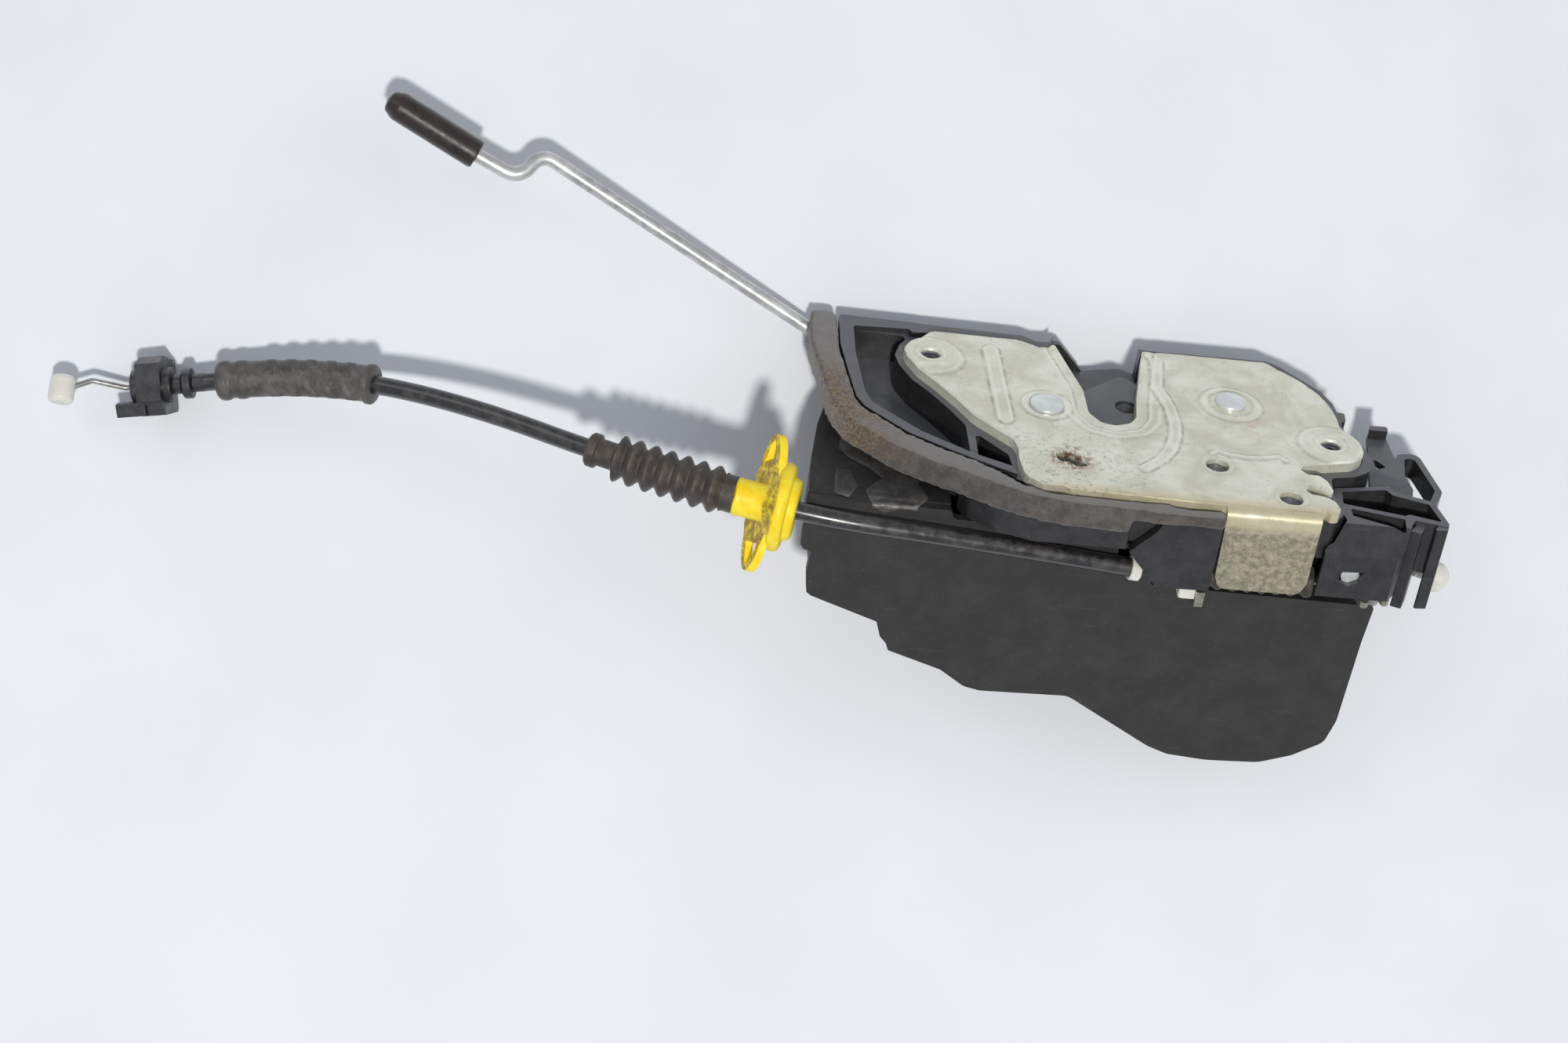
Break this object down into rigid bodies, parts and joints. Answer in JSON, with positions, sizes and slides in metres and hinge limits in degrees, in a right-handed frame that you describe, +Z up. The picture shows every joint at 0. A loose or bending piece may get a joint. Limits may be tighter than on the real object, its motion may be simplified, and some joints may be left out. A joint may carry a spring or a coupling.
{
  "type": "car door lock",
  "caption": "Car door latch with a claw and pawl under a steel plate, a flat lock actuator box, a lock rod and a sheathed release cable.",
  "frame": {"origin": "centre of the bounding box of the lock without its release cable, at the height of the surface it stands on", "axes": "+X along the latch plate from the lock rod's side to the connector's side, +Y towards the throat's side of the lock, +Z up"},
  "size_m": [0.3611, 0.1546, 0.0792],
  "materials": {
    "plate_zinc": "pale yellow passivated zinc, worn, specks of rust",
    "plate_zinc_back": "zinc plated steel sheet",
    "pin_steel": "turned steel",
    "steel_dark": "hardened steel",
    "claw_plastic": "greased hard plastic",
    "rubber_black": "matt",
    "plastic_black": "moulded, slight sheen, dusty",
    "plastic_cover": "dusty moulded plastic",
    "plastic_inner": "moulded",
    "plastic_white": "natural acetal",
    "switch_plastic": "moulded",
    "screw_steel": "zinc plated",
    "spring_steel": "drawn wire",
    "lever_steel": "zinc plated pressing",
    "motor_steel": "drawn steel can",
    "brass_strip": "stamped strip",
    "brass_gear": "cut teeth",
    "wire_steel": "twisted steel wire",
    "foam_grey": "cut soft foam, dusty",
    "rod_zinc": "galvanised rod",
    "cap_rubber": "satin",
    "conduit_black": "smooth extruded cover",
    "gaiter_rubber": "dusty",
    "sleeve_plastic": "moulded, dusty",
    "grommet_yellow": "soiled"
  },
  "bodies": {
    "latch": {"actuator_cover": "plastic_cover", "actuator_housing": "plastic_cover", "back_plate": "plate_zinc_back", "cable_bracket": "plastic_black", "cable_conduit": "conduit_black", "cable_end_clip": "plastic_black", "cable_gaiter": "gaiter_rubber", "cable_grommet": "grommet_yellow", "cable_sleeve": "sleeve_plastic", "claw_pin": "pin_steel", "claw_spring": "spring_steel", "claw_switch": "switch_plastic", "conduit_fitting": "plastic_white", "connector_pins": "brass_strip", "connector_shroud": "plastic_black", "foam_seal": "foam_grey", "gear_shaft": "pin_steel", "harness_clip": "plastic_black", "harness_peg": "plastic_white", "housing_screws": "screw_steel", "latch_housing": "plastic_black", "latch_plate": "plate_zinc", "lead_frame": "brass_strip", "lever_stop_pin": "pin_steel", "lock_lever_pin": "pin_steel", "lock_switch": "switch_plastic", "motor": "motor_steel", "pawl_pin": "pin_steel", "pawl_spring": "spring_steel", "pawl_switch": "switch_plastic", "release_gaiter": "rubber_black", "rod_guide": "plastic_black", "terminal_carrier": "plastic_inner"},
    "claw": {"claw_core": "steel_dark", "claw_overmould": "claw_plastic", "claw_buffer": "rubber_black"},
    "pawl": {"pawl_core": "steel_dark", "pawl_overmould": "claw_plastic"},
    "lock_pull_rod": {"lock_rod": "rod_zinc", "rod_cap": "cap_rubber"},
    "lock_lever": {"lock_lever": "plastic_white"},
    "reduction_gear": {"cluster_gear": "plastic_white"},
    "motor_shaft": {"motor_pinion": "brass_gear"},
    "inner_release": {"inner_release_lever": "lever_steel"},
    "inner_cable_wire": {"inner_wire": "wire_steel"},
    "outer_cable_wire": {"pull_wire": "wire_steel", "wire_barrel": "plastic_white"},
    "outer_release": {"outer_release_lever": "lever_steel", "outer_lever_bush": "plastic_white"}
  },
  "joints": [
    {"name": "claw_turn", "type": "hinge", "parent": "latch", "child": "claw", "pos_m": [0.03396, 0.00495, 0.03929], "axis": [0, -0.8271, -0.5621], "range_deg": [0, 72], "stiffness_Nm_per_rad": 0.3, "springref_deg": -17.19},
    {"name": "pawl_turn", "type": "hinge", "parent": "latch", "child": "pawl", "pos_m": [0.08356, 0.01018, 0.03159], "axis": [0, 0.8271, 0.5621], "range_deg": [-9, 3]},
    {"name": "lock_rod_slide", "type": "slide", "parent": "latch", "child": "lock_pull_rod", "axis": [0.8804, -0.453, -0.1402], "range_m": [0, 0.013]},
    {"name": "lock_lever_turn", "type": "hinge", "parent": "latch", "child": "lock_lever", "pos_m": [-0.00514, -0.02671, 0.03446], "axis": [0, 0.5621, -0.8271], "range_deg": [0, 41]},
    {"name": "reduction_gear_turn", "type": "hinge", "parent": "latch", "child": "reduction_gear", "pos_m": [0.01523, -0.02963, 0.03126], "axis": [0, 0.5621, -0.8271], "range_deg": [-136, 0]},
    {"name": "motor_shaft_turn", "type": "hinge", "parent": "latch", "child": "motor_shaft", "pos_m": [0.03083, -0.03088, 0.02678], "axis": [0, 0.5621, -0.8271], "range_deg": [0, 404]},
    {"name": "inner_release_turn", "type": "hinge", "parent": "latch", "child": "inner_release", "pos_m": [0.11356, -0.01847, 0.03764], "axis": [0, -0.8271, -0.5621], "range_deg": [0, 30.25]},
    {"name": "inner_wire_slide", "type": "slide", "parent": "latch", "child": "inner_cable_wire", "axis": [-1, 0, 0], "range_m": [0, 0.0121]},
    {"name": "pull_wire_slide", "type": "slide", "parent": "latch", "child": "outer_cable_wire", "axis": [-0.9696, -0.1546, -0.1897], "range_m": [0, 0.0121]},
    {"name": "outer_release_turn", "type": "hinge", "parent": "latch", "child": "outer_release", "pos_m": [0.08136, -0.01928, 0.03829], "axis": [0, -0.8271, -0.5621], "range_deg": [0, 12]}
  ],
  "couplings": [
    {"joint": "lock_lever_turn", "follows": "lock_rod_slide", "rad_per_m": 53.971},
    {"joint": "reduction_gear_turn", "follows": "lock_rod_slide", "rad_per_m": -179.9},
    {"joint": "motor_shaft_turn", "follows": "lock_rod_slide", "rad_per_m": 539.71},
    {"joint": "inner_wire_slide", "follows": "inner_release_turn", "m_per_rad": 0.022729},
    {"joint": "pull_wire_slide", "follows": "inner_release_turn", "m_per_rad": 0.022729}
  ]
}
